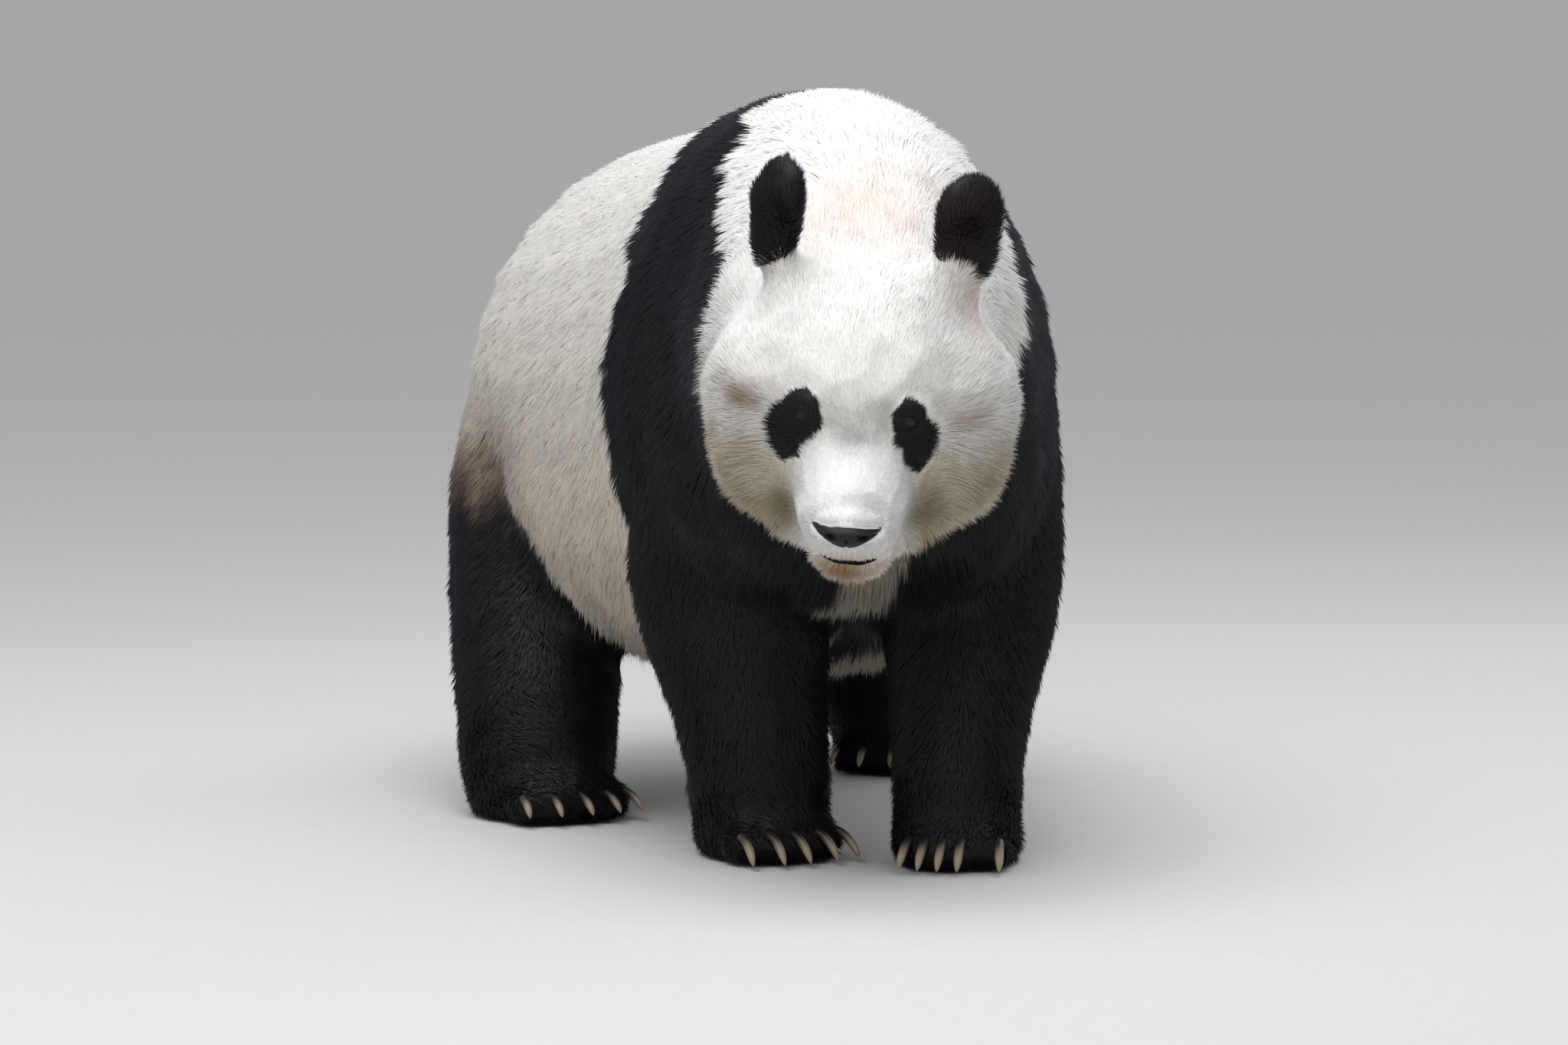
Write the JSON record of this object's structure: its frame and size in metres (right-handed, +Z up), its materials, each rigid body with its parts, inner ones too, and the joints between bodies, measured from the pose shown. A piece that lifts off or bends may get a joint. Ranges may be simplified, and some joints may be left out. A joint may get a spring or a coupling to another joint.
{
  "type": "giant panda",
  "caption": "Life-size still giant panda walking on all fours, head lowered, black and white coat; a display or natural-history figure that stands on its paws.",
  "frame": {"origin": "on the floor, under the middle of the bounding box", "axes": "+Z up, -Y the way the panda walks, +X the panda's left"},
  "size_m": [0.6456, 1.5074, 0.785],
  "materials": {
    "white_fur": "dense white coat",
    "black_fur": "dense black coat with a soft blue sheen",
    "nose_skin": "damp black nose pad",
    "eye_dark": "wet dark brown eye",
    "claw_horn": "worn horn, satin"
  },
  "bodies": {
    "root": {"head": "white_fur", "neck": "white_fur", "trunk": "white_fur", "tail": "white_fur", "ear_left": "black_fur", "ear_right": "black_fur", "eye_left": "eye_dark", "eye_right": "eye_dark", "nose": "nose_skin", "upper_fore_leg_left": "black_fur", "lower_fore_leg_left": "black_fur", "fore_paw_left": "black_fur", "upper_fore_leg_right": "black_fur", "lower_fore_leg_right": "black_fur", "fore_paw_right": "black_fur", "upper_hind_leg_left": "black_fur", "lower_hind_leg_left": "black_fur", "hind_paw_left": "black_fur", "upper_hind_leg_right": "black_fur", "lower_hind_leg_right": "black_fur", "hind_paw_right": "black_fur", "claw_fore_left_1": "claw_horn", "claw_fore_left_2": "claw_horn", "claw_fore_left_3": "claw_horn", "claw_fore_left_4": "claw_horn", "claw_fore_left_5": "claw_horn", "claw_fore_right_1": "claw_horn", "claw_fore_right_2": "claw_horn", "claw_fore_right_3": "claw_horn", "claw_fore_right_4": "claw_horn", "claw_fore_right_5": "claw_horn", "claw_hind_left_1": "claw_horn", "claw_hind_left_2": "claw_horn", "claw_hind_left_3": "claw_horn", "claw_hind_left_4": "claw_horn", "claw_hind_left_5": "claw_horn", "claw_hind_right_1": "claw_horn", "claw_hind_right_2": "claw_horn", "claw_hind_right_3": "claw_horn", "claw_hind_right_4": "claw_horn", "claw_hind_right_5": "claw_horn"}
  },
  "joints": []
}
